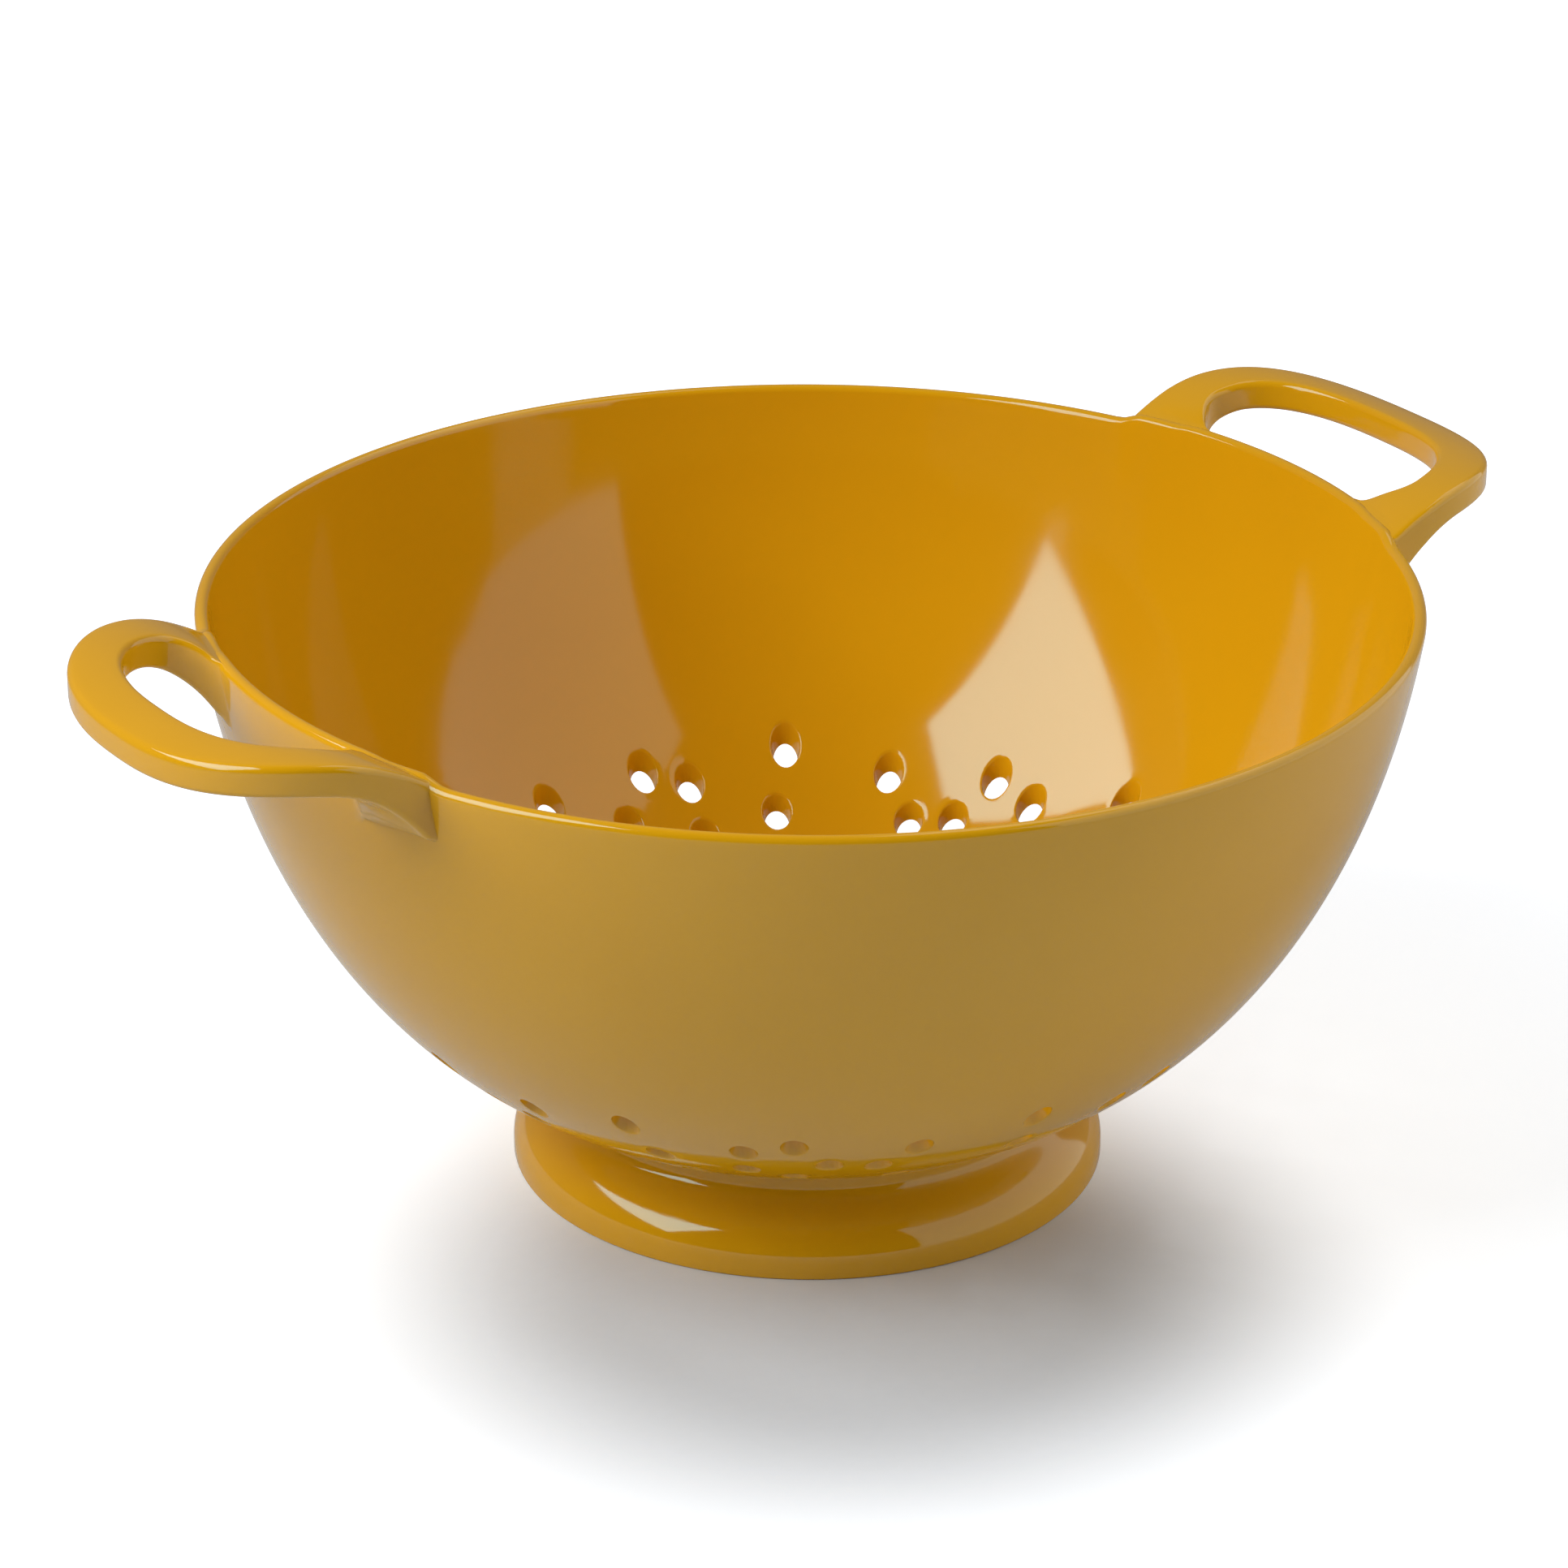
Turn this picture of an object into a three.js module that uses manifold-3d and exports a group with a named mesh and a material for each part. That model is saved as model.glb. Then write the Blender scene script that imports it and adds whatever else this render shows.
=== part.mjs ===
// Melamine colander: a deep bowl with two loop handles, moulded in one shot, on a flared foot ring
// that is moulded apart and bonded under it. Millimetres, +Z up. The handles lie along X, and the
// origin is the centre of the foot's resting face.

import * as THREE from "three";
import { mergeVertices } from "three/addons/utils/BufferGeometryUtils.js";
import Module from "manifold-3d";

// Bowl
const RIM_RADIUS = 120; // outside of the lip
const RIM_HEIGHT = 121; // top of the lip above the table
const RIM_LEAN = 7.7; // degrees that the wall leans out at the rim
const BASE_RADIUS = 12; // flat middle of the underside
const BASE_HEIGHT = 11.8; // underside above the table
const FLOOR_PULL = 74.1; // run of the floor before it turns up into the wall
const WALL_PULL = 48.7; // depth to which the wall keeps the rim's lean
const WALL = 2.8; // wall of the bowl
const RIM_LIFT = 2.2; // rise of the lip between the arms of a handle
const LIFT_SPAN = 14; // degrees either side of the handle with the full rise
const LIFT_RUN = 7; // degrees in which the rise dies out
const LIFT_DEPTH = 24; // height of wall below the lip that takes up the rise

// Drain holes: [distance from the axis, angle in degrees] of one sector
const DRAIN_SECTORS = 7;
const DRAIN_RADIUS = 2.65; // at the outside of the wall
const DRAIN_DRAFT = 6; // degrees by which a hole widens upward
const DRAIN_MOTIF = [
  [84.7, -29.3], [87.3, -22.8], [79.7, -18.2], [78.5, -11.3], [85.8, -7.0], [89.3, 7.8], [78.9, 9.5],
  [75.6, -29.9], [70.3, -23.1], [68.3, -6.9], [67.3, 11.7],
  [40.5, -21.0], [40.0, 4.0],
  [30.0, -8.0], [28.5, 18.0],
  [18.0, -20.0],
];

// Handles
const HANDLE_OVERHANG = 33; // reach beyond the rim
const HANDLE_WIDTH = 85; // across the two arms, before they spread
const HANDLE_BAND = 10.3; // width of the band in plan
const HANDLE_THICKNESS = 6.5;
const HANDLE_SQUARENESS = 2.5; // exponent of the loop's outline, where 2 is an ellipse
const HANDLE_EDGE = 1.3; // round of the band's four edges
const CREST_HEIGHT = 8.6; // crest of the band above the rim
const CREST_REACH = 17.4; // crest beyond the rim
const CREST_RADIUS = 56; // radius of the crest, seen from the side
const ROOT_RUN = 16; // length over which the arms swell into the wall
const ROOT_DIP = 1.4; // fall of the top face into the lip
const ROOT_DROP = 6.8; // fall of the underside down the wall, on an arm's outer side
const WINDOW_DROP = 4.2; // the same on its window side
const WINDOW_ROUND = 8; // round of the window's corners at the wall
const ARM_SPREAD = 1.8; // spread of an arm's outer side by the time it meets the rim
const SPREAD_RUN = 28; // length over which it spreads
const ROOT_DEPTH = 16; // run of the arms behind the lip before they are trimmed to the wall
const ROOT_SETBACK = 0.2; // inner face of the roots behind the bowl's inner wall

// Foot ring and its bond
const FOOT_RADIUS = 59.8; // outside, at the resting edge
const FOOT_BAND = 2.6; // upright band above the table
const FOOT_EDGE = 0.5; // round of the resting edge
const NECK_RADIUS = 51; // outside of the waist
const NECK_HEIGHT = 2.2; // upright part of the waist
const SHOULDER_PULL = 8; // fullness of the swelling lower part
const FILLET_PULL = 4; // fullness of the hollow under the waist
const FOOT_WALL = 3.4;
const BOND_WIDTH = 1.4;
const BOND_HEIGHT = 1.2;
const SEAT_GAP = 0.3; // between each two mating faces

// Smoothness of the round forms
const BOWL_SEGMENTS = 56;
const FOOT_SEGMENTS = 56;
const WALL_STEPS = 10;
const LIP_STEPS = 4;
const FOOT_STEPS = 6;
const DRAIN_SIDES = 8;
const LOOP_STEPS = 22;
const ROOT_STEPS = 8;
const EDGE_STEPS = 2;

const CUT_MARGIN = 1.5; // run of a cutter past the face that it opens
const CAVITY_TOP = 30; // run of the trimming cavity above the rim

const MELAMINE = { color: "#c68f1d", roughness: 0.22, metalness: 0 };
const ADHESIVE = { color: "#cdb573", roughness: 0.45, metalness: 0 };

const wasm = await Module();
wasm.setup();

const smooth = (t) => THREE.MathUtils.smoothstep(t, 0, 1);
const radians = THREE.MathUtils.degToRad;

// Solid of a closed geometry, with shared corners merged and the slivers at a pole left out.
function solidOf(geometry) {
  const bare = geometry.clone();
  bare.deleteAttribute("normal");
  bare.deleteAttribute("uv");
  const merged = mergeVertices(bare);
  const index = merged.index.array;
  const triangles = [];
  for (let i = 0; i < index.length; i += 3) {
    const [a, b, c] = index.slice(i, i + 3);
    if (a !== b && b !== c && c !== a) triangles.push(a, b, c);
  }
  const vertProperties = new Float32Array(merged.attributes.position.array);
  const triVerts = new Uint32Array(triangles);
  return new wasm.Manifold(new wasm.Mesh({ numProp: 3, vertProperties, triVerts }));
}

function geometryOf(solid) {
  const { vertProperties, triVerts } = solid.getMesh();
  const geometry = new THREE.BufferGeometry();
  geometry.setAttribute("position", new THREE.BufferAttribute(vertProperties, 3));
  geometry.setIndex(new THREE.BufferAttribute(triVerts, 1));
  geometry.computeVertexNormals();
  return geometry;
}

function namedMesh(name, geometry, look) {
  const mesh = new THREE.Mesh(geometry, new THREE.MeshStandardMaterial(look));
  mesh.name = name;
  return mesh;
}

// Ring or bowl turned about Z from a profile of (distance from the axis, height) points.
function turned(profile, segments) {
  return new THREE.LatheGeometry(profile, segments).rotateX(Math.PI / 2);
}

// Points of a profile curve moved to its left by a distance.
function offsetPoints(curve, steps, distance) {
  const points = [];
  for (let i = 0; i <= steps; i++) {
    const tangent = curve.getTangent(i / steps);
    const left = new THREE.Vector2(-tangent.y, tangent.x);
    points.push(curve.getPoint(i / steps).addScaledVector(left, distance));
  }
  return points;
}

// Height of a profile at a distance from the axis, between its points.
function heightAt(profile, r) {
  const k = profile.findIndex((p) => p.x >= r);
  if (k <= 0) return profile.at(k).y;
  const [low, high] = [profile[k - 1], profile[k]];
  return THREE.MathUtils.mapLinear(r, low.x, high.x, low.y, high.y);
}

// Bowl profile: the outside as one curve, flat at the middle and leaning out at the rim.
const lipRadius = WALL / 2;
const rim = new THREE.Vector2(RIM_RADIUS, RIM_HEIGHT - lipRadius);
const lean = new THREE.Vector2(Math.sin(radians(RIM_LEAN)), Math.cos(radians(RIM_LEAN)));
const outsideCurve = new THREE.CubicBezierCurve(
  new THREE.Vector2(BASE_RADIUS, BASE_HEIGHT),
  new THREE.Vector2(BASE_RADIUS + FLOOR_PULL, BASE_HEIGHT),
  rim.clone().addScaledVector(lean, -WALL_PULL),
  rim,
);

// Profile of the wall from the axis to the rim, at a depth behind its outside.
function wallPoints(depth) {
  return [new THREE.Vector2(0, BASE_HEIGHT + depth), ...offsetPoints(outsideCurve, WALL_STEPS, depth)];
}

const outside = wallPoints(0);
const inside = wallPoints(WALL);

// Half round of the lip, from the outside over the top to the inside.
function lipPoints() {
  const centre = outside.at(-1).clone().add(inside.at(-1)).multiplyScalar(0.5);
  const points = [];
  for (let i = 1; i < LIP_STEPS; i++) {
    const turn = (Math.PI * i) / LIP_STEPS - radians(RIM_LEAN);
    points.push(new THREE.Vector2(Math.cos(turn), Math.sin(turn)).multiplyScalar(lipRadius).add(centre));
  }
  return points;
}

// The lip and the wall under it rise a little between the arms of each handle.
function liftRim(geometry) {
  const position = geometry.attributes.position;
  for (let i = 0; i < position.count; i++) {
    const [x, y, z] = [position.getX(i), position.getY(i), position.getZ(i)];
    const fromHandle = THREE.MathUtils.radToDeg(Math.atan2(Math.abs(y), Math.abs(x)));
    const spread = 1 - smooth((fromHandle - LIFT_SPAN) / LIFT_RUN);
    const depth = smooth(1 - (RIM_HEIGHT - z) / LIFT_DEPTH);
    position.setZ(i, z + RIM_LIFT * spread * depth);
  }
  return geometry;
}

function bowlShell() {
  const profile = [...outside, ...lipPoints(), ...inside.toReversed()];
  return solidOf(liftRim(turned(profile, BOWL_SEGMENTS)));
}

// Room inside the bowl, carried up past the rim along the wall's lean, to trim the roots of the handles.
function rootTrimmer() {
  const wall = wallPoints(WALL - ROOT_SETBACK);
  const top = wall.at(-1).clone().addScaledVector(lean, CAVITY_TOP / lean.y);
  return solidOf(turned([...wall, top, new THREE.Vector2(0, top.y)], BOWL_SEGMENTS));
}

// Share of the root's swelling that is left at a distance from the bowl's axis.
const rootShare = (r) => (1 - THREE.MathUtils.clamp((r - RIM_RADIUS) / ROOT_RUN, 0, 1)) ** 2;

function handleTop(u, v) {
  const crest = RIM_HEIGHT + CREST_HEIGHT - (u - RIM_RADIUS - CREST_REACH) ** 2 / (2 * CREST_RADIUS);
  return crest - ROOT_DIP * rootShare(Math.hypot(u, v));
}

function handleBottom(u, v) {
  const outward = smooth((Math.abs(v) - HANDLE_WIDTH / 2) / HANDLE_BAND + 1);
  const drop = THREE.MathUtils.lerp(WINDOW_DROP, ROOT_DROP, outward);
  return handleTop(u, v) + (ROOT_DIP - drop) * rootShare(Math.hypot(u, v)) - HANDLE_THICKNESS;
}

// Widening of the band on its window side, which rounds the window's corners into the wall.
function cornerRound(centre) {
  const fromWall = Math.hypot(centre.x, Math.abs(centre.y) - HANDLE_BAND / 2) - RIM_RADIUS + lipRadius;
  const left = THREE.MathUtils.clamp(WINDOW_ROUND - fromWall, 0, WINDOW_ROUND);
  return WINDOW_ROUND - Math.sqrt(WINDOW_ROUND ** 2 - left ** 2);
}

// Widening of the band on its outer side, which spreads the arms towards the rim.
function armSpread(centre) {
  return ARM_SPREAD * (1 - Math.min((centre.x - RIM_RADIUS) / SPREAD_RUN, 1)) ** 2;
}

// Middle line of the band in plan: up one arm, round the loop and back down the other arm.
function handlePath() {
  const reach = HANDLE_OVERHANG - HANDLE_BAND / 2;
  const halfWidth = (HANDLE_WIDTH - HANDLE_BAND) / 2;
  const power = 2 / HANDLE_SQUARENESS;
  const path = [];
  for (let i = -ROOT_STEPS; i <= LOOP_STEPS + ROOT_STEPS; i++) {
    const past = Math.max(-i, i - LOOP_STEPS, 0);
    const turn = Math.PI * (THREE.MathUtils.clamp(i / LOOP_STEPS, 0, 1) - 0.5);
    const along = reach * Math.abs(Math.cos(turn)) ** power - (ROOT_DEPTH * past) / ROOT_STEPS;
    const across = halfWidth * Math.sign(turn) * Math.abs(Math.sin(turn)) ** power;
    path.push(new THREE.Vector2(RIM_RADIUS + along, across));
  }
  return path;
}

// Rounded section of the band, as [side, height] shares of its half sizes with the corner's round.
function bandSection() {
  const section = [];
  for (const [side, level] of [[1, -1], [1, 1], [-1, 1], [-1, -1]]) {
    for (let k = 0; k <= EDGE_STEPS; k++) {
      const first = side === level ? Math.sin : Math.cos;
      const second = side === level ? Math.cos : Math.sin;
      const turn = (Math.PI / 2) * (1 - k / EDGE_STEPS);
      section.push({ side, level, across: 1 - first(turn), upright: 1 - second(turn) });
    }
  }
  return section;
}

// Closed loft through rings of equally many points, with flat ends.
function lofted(rings) {
  const count = rings[0].length;
  const index = [];
  for (let i = 0; i + 1 < rings.length; i++) {
    for (let k = 0; k < count; k++) {
      const next = (k + 1) % count;
      const [near, far] = [i * count, (i + 1) * count];
      index.push(near + k, far + next, near + next);
      index.push(near + k, far + k, far + next);
    }
  }
  const last = (rings.length - 1) * count;
  for (let k = 1; k + 1 < count; k++) {
    index.push(0, k, k + 1);
    index.push(last, last + k + 1, last + k);
  }
  const geometry = new THREE.BufferGeometry().setFromPoints(rings.flat());
  return geometry.setIndex(index);
}

function handleLoop() {
  const path = handlePath();
  const section = bandSection();
  const rings = path.map((centre, i) => {
    const before = path[Math.max(i - 1, 0)];
    const after = path[Math.min(i + 1, path.length - 1)];
    const tangent = after.clone().sub(before).normalize();
    const outward = new THREE.Vector2(tangent.y, -tangent.x);
    return section.map(({ side, level, across, upright }) => {
      const half = HANDLE_BAND / 2 + (side < 0 ? cornerRound(centre) : armSpread(centre));
      const plan = centre.clone().addScaledVector(outward, side * (half - HANDLE_EDGE * across));
      const face = level > 0 ? handleTop(plan.x, plan.y) : handleBottom(plan.x, plan.y);
      return new THREE.Vector3(plan.x, plan.y, face - level * HANDLE_EDGE * upright);
    });
  });
  return lofted(rings);
}

// Upright drafted pin through the wall at a place in plan: a slender cone that stands on its tip.
function drainPin(r, degrees) {
  const draft = Math.tan(radians(DRAIN_DRAFT));
  const tip = heightAt(outside, r) - DRAIN_RADIUS / draft;
  const top = heightAt(inside, r + DRAIN_RADIUS + WALL) + CUT_MARGIN;
  const pin = new THREE.ConeGeometry(draft * (top - tip), top - tip, DRAIN_SIDES);
  pin.rotateX(-Math.PI / 2).translate(r, 0, (tip + top) / 2).rotateZ(radians(degrees));
  return solidOf(pin);
}

function drainPins() {
  const pins = [drainPin(0, 0)];
  for (let sector = 0; sector < DRAIN_SECTORS; sector++) {
    for (const [r, degrees] of DRAIN_MOTIF) {
      pins.push(drainPin(r, degrees + (360 * sector) / DRAIN_SECTORS));
    }
  }
  return pins;
}

function bowl() {
  const loop = solidOf(handleLoop()).subtract(rootTrimmer());
  let solid = bowlShell().add(loop).add(loop.rotate([0, 0, 180]));
  for (const pin of drainPins()) solid = solid.subtract(pin);
  return namedMesh("bowl", geometryOf(solid), MELAMINE);
}

// Foot ring: the outside swells from the resting edge and hollows into the waist, the inside keeps one
// wall from it, and the seat follows the bowl's underside round a groove for the bond.
const seatHeight = (r) => heightAt(outside, r) - SEAT_GAP;
const bondRadius = NECK_RADIUS - FOOT_WALL / 2;
const grooveHalf = BOND_WIDTH / 2 + SEAT_GAP;
const grooveFloor = seatHeight(bondRadius - grooveHalf) - BOND_HEIGHT - SEAT_GAP;

function footRing() {
  const waist = seatHeight(NECK_RADIUS) - NECK_HEIGHT;
  const flank = new THREE.CubicBezierCurve(
    new THREE.Vector2(FOOT_RADIUS, FOOT_BAND),
    new THREE.Vector2(FOOT_RADIUS, FOOT_BAND + SHOULDER_PULL),
    new THREE.Vector2(NECK_RADIUS, waist - FILLET_PULL),
    new THREE.Vector2(NECK_RADIUS, waist),
  );
  const innerFlank = offsetPoints(flank, FOOT_STEPS, FOOT_WALL).reverse();
  const seat = (r) => new THREE.Vector2(r, seatHeight(r));
  const profile = [
    new THREE.Vector2(FOOT_RADIUS - FOOT_WALL, 0),
    new THREE.Vector2(FOOT_RADIUS - FOOT_EDGE, 0),
    new THREE.Vector2(FOOT_RADIUS, FOOT_EDGE),
    ...offsetPoints(flank, FOOT_STEPS, 0),
    seat(NECK_RADIUS),
    seat(bondRadius + grooveHalf),
    new THREE.Vector2(bondRadius + grooveHalf, grooveFloor),
    new THREE.Vector2(bondRadius - grooveHalf, grooveFloor),
    seat(bondRadius - grooveHalf),
    seat(NECK_RADIUS - FOOT_WALL),
    ...innerFlank,
    new THREE.Vector2(FOOT_RADIUS - FOOT_WALL, 0),
  ];
  return namedMesh("foot_ring", geometryOf(solidOf(turned(profile, FOOT_SEGMENTS))), MELAMINE);
}

function footBond() {
  const [inner, outer] = [bondRadius - BOND_WIDTH / 2, bondRadius + BOND_WIDTH / 2];
  const floor = grooveFloor + SEAT_GAP;
  const profile = [
    new THREE.Vector2(inner, floor),
    new THREE.Vector2(outer, floor),
    new THREE.Vector2(outer, seatHeight(outer)),
    new THREE.Vector2(inner, seatHeight(inner)),
    new THREE.Vector2(inner, floor),
  ];
  return namedMesh("foot_bond", geometryOf(solidOf(turned(profile, FOOT_SEGMENTS))), ADHESIVE);
}

const colander = new THREE.Group();
colander.add(bowl(), footRing(), footBond());

export default colander;
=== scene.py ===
"""Melamine colander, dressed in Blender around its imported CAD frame.

The bowl with its two loop handles and the foot ring get fine meshes in the
places of their CAD nodes, and the bond under the bowl keeps its CAD solid.
Sizes are in millimetres here and become metres where a mesh is made.
"""

import logging
import math
from dataclasses import dataclass, field
from enum import Enum

import bpy
import numpy as np
from mathutils import Matrix, Vector
from mathutils.geometry import delaunay_2d_cdt


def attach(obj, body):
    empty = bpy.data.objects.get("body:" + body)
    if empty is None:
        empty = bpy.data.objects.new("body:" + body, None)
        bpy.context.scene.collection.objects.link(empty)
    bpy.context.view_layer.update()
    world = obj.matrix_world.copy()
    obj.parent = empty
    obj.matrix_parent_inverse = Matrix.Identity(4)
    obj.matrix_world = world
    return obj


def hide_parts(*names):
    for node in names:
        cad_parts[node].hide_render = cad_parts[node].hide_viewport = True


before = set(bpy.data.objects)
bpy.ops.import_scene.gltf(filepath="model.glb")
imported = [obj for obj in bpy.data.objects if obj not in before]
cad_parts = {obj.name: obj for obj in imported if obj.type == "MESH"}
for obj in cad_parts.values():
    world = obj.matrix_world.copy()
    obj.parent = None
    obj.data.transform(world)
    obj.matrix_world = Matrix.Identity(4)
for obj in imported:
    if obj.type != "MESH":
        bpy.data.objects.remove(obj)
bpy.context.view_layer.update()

LOG = logging.getLogger("colander")
MM = 0.001
# Watts per square metre that give the face of a rectangular lamp a radiance of one.
LAMP_POWER = 4.0
ROOT = "root"

# The handles lie along X here, and the photograph sees them turned by this angle.
HANDLE_AZIMUTH = 33.8


class Slot(Enum):
    """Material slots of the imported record."""

    MELAMINE = "melamine"
    ADHESIVE = "adhesive"


def linear(hex_colour: str) -> tuple[float, float, float, float]:
    """Turn an sRGB hex colour into a linear one.

    Args:
        hex_colour: colour such as "#c68f1d".

    Returns:
        Linear red, green and blue with an alpha of one.
    """
    channels = (int(hex_colour[i:i + 2], 16) / 255.0 for i in (1, 3, 5))
    red, green, blue = (
        c / 12.92 if c <= 0.04045 else ((c + 0.055) / 1.055) ** 2.4 for c in channels
    )
    return red, green, blue, 1.0


def add_node(
    tree: bpy.types.NodeTree,
    kind: str,
    settings: dict[str, object] | None = None,
    inputs: dict[str | int, object] | None = None,
) -> bpy.types.Node:
    """Add a node with its settings and links.

    Args:
        tree: node tree that takes the node.
        kind: Blender's name of the node type.
        settings: properties of the node.
        inputs: sockets by name or number, each with a value or a socket to link from.

    Returns:
        The new node.
    """
    node = tree.nodes.new(kind)
    for name, value in (settings or {}).items():
        setattr(node, name, value)
    for name, value in (inputs or {}).items():
        if isinstance(value, bpy.types.NodeSocket):
            tree.links.new(value, node.inputs[name])
        else:
            node.inputs[name].default_value = value
    return node


def empty_material(name: str) -> bpy.types.Material:
    """Make a node material with an empty tree.

    Args:
        name: name of the material.

    Returns:
        The new material.
    """
    material = bpy.data.materials.new(name)
    material.use_nodes = True
    material.node_tree.nodes.clear()
    return material


def smooth(t: np.ndarray) -> np.ndarray:
    """Ease from 0 to 1, flat at both ends and beyond them."""
    t = np.clip(t, 0.0, 1.0)
    return t * t * (3.0 - 2.0 * t)


def bezier(points: np.ndarray, t: np.ndarray) -> tuple[np.ndarray, np.ndarray]:
    """Run along a cubic curve in a plane.

    Args:
        points: the four control points.
        t: places along the curve, from 0 to 1.

    Returns:
        The points at those places, and the unit tangents there.
    """
    s = t[:, None]
    a, b, c, d = points
    place = (1 - s) ** 3 * a + 3 * (1 - s) ** 2 * s * b + 3 * (1 - s) * s ** 2 * c + s ** 3 * d
    run = (1 - s) ** 2 * (b - a) + 2 * (1 - s) * s * (c - b) + s ** 2 * (d - c)
    return place, run / np.linalg.norm(run, axis=1)[:, None]


def evenly(points: np.ndarray, count: int) -> np.ndarray:
    """Spread points evenly along a line of points.

    Args:
        points: the line, close enough together to measure along.
        count: number of points wanted, both ends among them.

    Returns:
        The new points.
    """
    length = np.r_[0.0, np.cumsum(np.linalg.norm(np.diff(points, axis=0), axis=1))]
    wanted = np.linspace(0.0, length[-1], count)
    return np.stack([np.interp(wanted, length, axis) for axis in points.T], axis=1)


def circle(count: int, shift: float = 0.0) -> np.ndarray:
    """Evenly spread points of a circle with a radius of one.

    Args:
        count: number of points.
        shift: share of a step by which the first point lies off the X axis.

    Returns:
        The points in a plane.
    """
    turn = 2 * math.pi * (np.arange(count) + shift) / count
    return np.stack([np.cos(turn), np.sin(turn)], axis=1)


def lathe(profile: np.ndarray, segments: int) -> np.ndarray:
    """Turn a section round the Z axis.

    Args:
        profile: radius and height of each point of the section.
        segments: number of points round the axis.

    Returns:
        The points, one ring after the other.
    """
    ring = circle(segments)
    return np.vstack([
        np.column_stack([radius * ring, np.full(segments, height)]) for radius, height in profile
    ])


def arc(
    centre: tuple[float, float], radius: float, start: float, end: float, steps: int,
) -> np.ndarray:
    """Points of an arc in a plane.

    Args:
        centre: middle of the arc.
        radius: its radius.
        start: first angle in degrees.
        end: last angle in degrees.
        steps: number of steps between them.

    Returns:
        The points, both ends among them.
    """
    turn = np.radians(np.linspace(start, end, steps + 1))
    return np.array(centre) + radius * np.stack([np.cos(turn), np.sin(turn)], axis=1)


def make_mesh(name: str, points: np.ndarray, faces: list[tuple[int, ...]]) -> bpy.types.Object:
    """Make a smooth-shaded mesh object.

    Args:
        name: name of the object and its mesh.
        points: vertices in millimetres.
        faces: vertex numbers of each face.

    Returns:
        The object, linked to the scene.
    """
    mesh = bpy.data.meshes.new(name)
    mesh.from_pydata((points * MM).tolist(), [], faces)
    mesh.shade_smooth()
    made = bpy.data.objects.new(name, mesh)
    bpy.context.scene.collection.objects.link(made)
    return made


def ring_faces(lower: np.ndarray, upper: np.ndarray) -> list[tuple[int, ...]]:
    """Faces between two closed rings of equally many vertices.

    Args:
        lower: vertex numbers of the first ring.
        upper: vertex numbers of the second ring.

    Returns:
        Four-sided faces that look outward where the second ring lies above the first.
    """
    after_lower, after_upper = np.roll(lower, -1), np.roll(upper, -1)
    return list(zip(lower.tolist(), after_lower.tolist(), after_upper.tolist(), upper.tolist()))


@dataclass(frozen=True)
class MelamineFinish:
    """Melamine, press moulded in polished steel and coloured right through."""

    # The polished mould leaves a gloss that shows the lamps with slightly soft
    # edges, a greenish white over the deep yellow, and the flow of the powder
    # leaves faint clouds in an even colour.
    name: str = "melamine_press_moulded"
    colour: str = "#e7aa10"
    cloud_colour: str = "#e1a30e"
    cloud_size: float = 45.0
    cloud_detail: float = 2.0
    gloss_tint: str = "#c4ffff"
    ior: float = 1.56
    roughness_low: float = 0.06
    roughness_high: float = 0.1
    smear_size: float = 28.0
    smear_detail: float = 4.0
    smear_low: float = 0.3
    smear_high: float = 0.7
    ripple_size: float = 9.0
    ripple_height: float = 0.004
    ripple_detail: float = 1.0

    def material(self) -> bpy.types.Material:
        """Build the node material and return it."""
        material = empty_material(self.name)
        tree = material.node_tree
        place = add_node(tree, "ShaderNodeTexCoord").outputs["Object"]
        clouds = add_node(tree, "ShaderNodeTexNoise", inputs={
            "Vector": place, "Scale": 1.0 / (self.cloud_size * MM), "Detail": self.cloud_detail})
        colour = add_node(tree, "ShaderNodeMix", {"data_type": "RGBA"}, {
            0: clouds.outputs["Fac"], 6: linear(self.colour), 7: linear(self.cloud_colour)})
        smears = add_node(tree, "ShaderNodeTexNoise", inputs={
            "Vector": place, "Scale": 1.0 / (self.smear_size * MM), "Detail": self.smear_detail})
        gloss = add_node(tree, "ShaderNodeMapRange", inputs={
            "Value": smears.outputs["Fac"], "From Min": self.smear_low, "From Max": self.smear_high,
            "To Min": self.roughness_low, "To Max": self.roughness_high})
        ripples = add_node(tree, "ShaderNodeTexNoise", inputs={
            "Vector": place, "Scale": 1.0 / (self.ripple_size * MM), "Detail": self.ripple_detail})
        bump = add_node(tree, "ShaderNodeBump", inputs={
            "Height": ripples.outputs["Fac"], "Distance": self.ripple_height * MM})
        shader = add_node(tree, "ShaderNodeBsdfPrincipled", inputs={
            "Base Color": colour.outputs[2], "Roughness": gloss.outputs["Result"],
            "Normal": bump.outputs["Normal"], "IOR": self.ior,
            "Specular Tint": linear(self.gloss_tint)})
        add_node(tree, "ShaderNodeOutputMaterial", inputs={"Surface": shader.outputs["BSDF"]})
        return material


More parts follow.
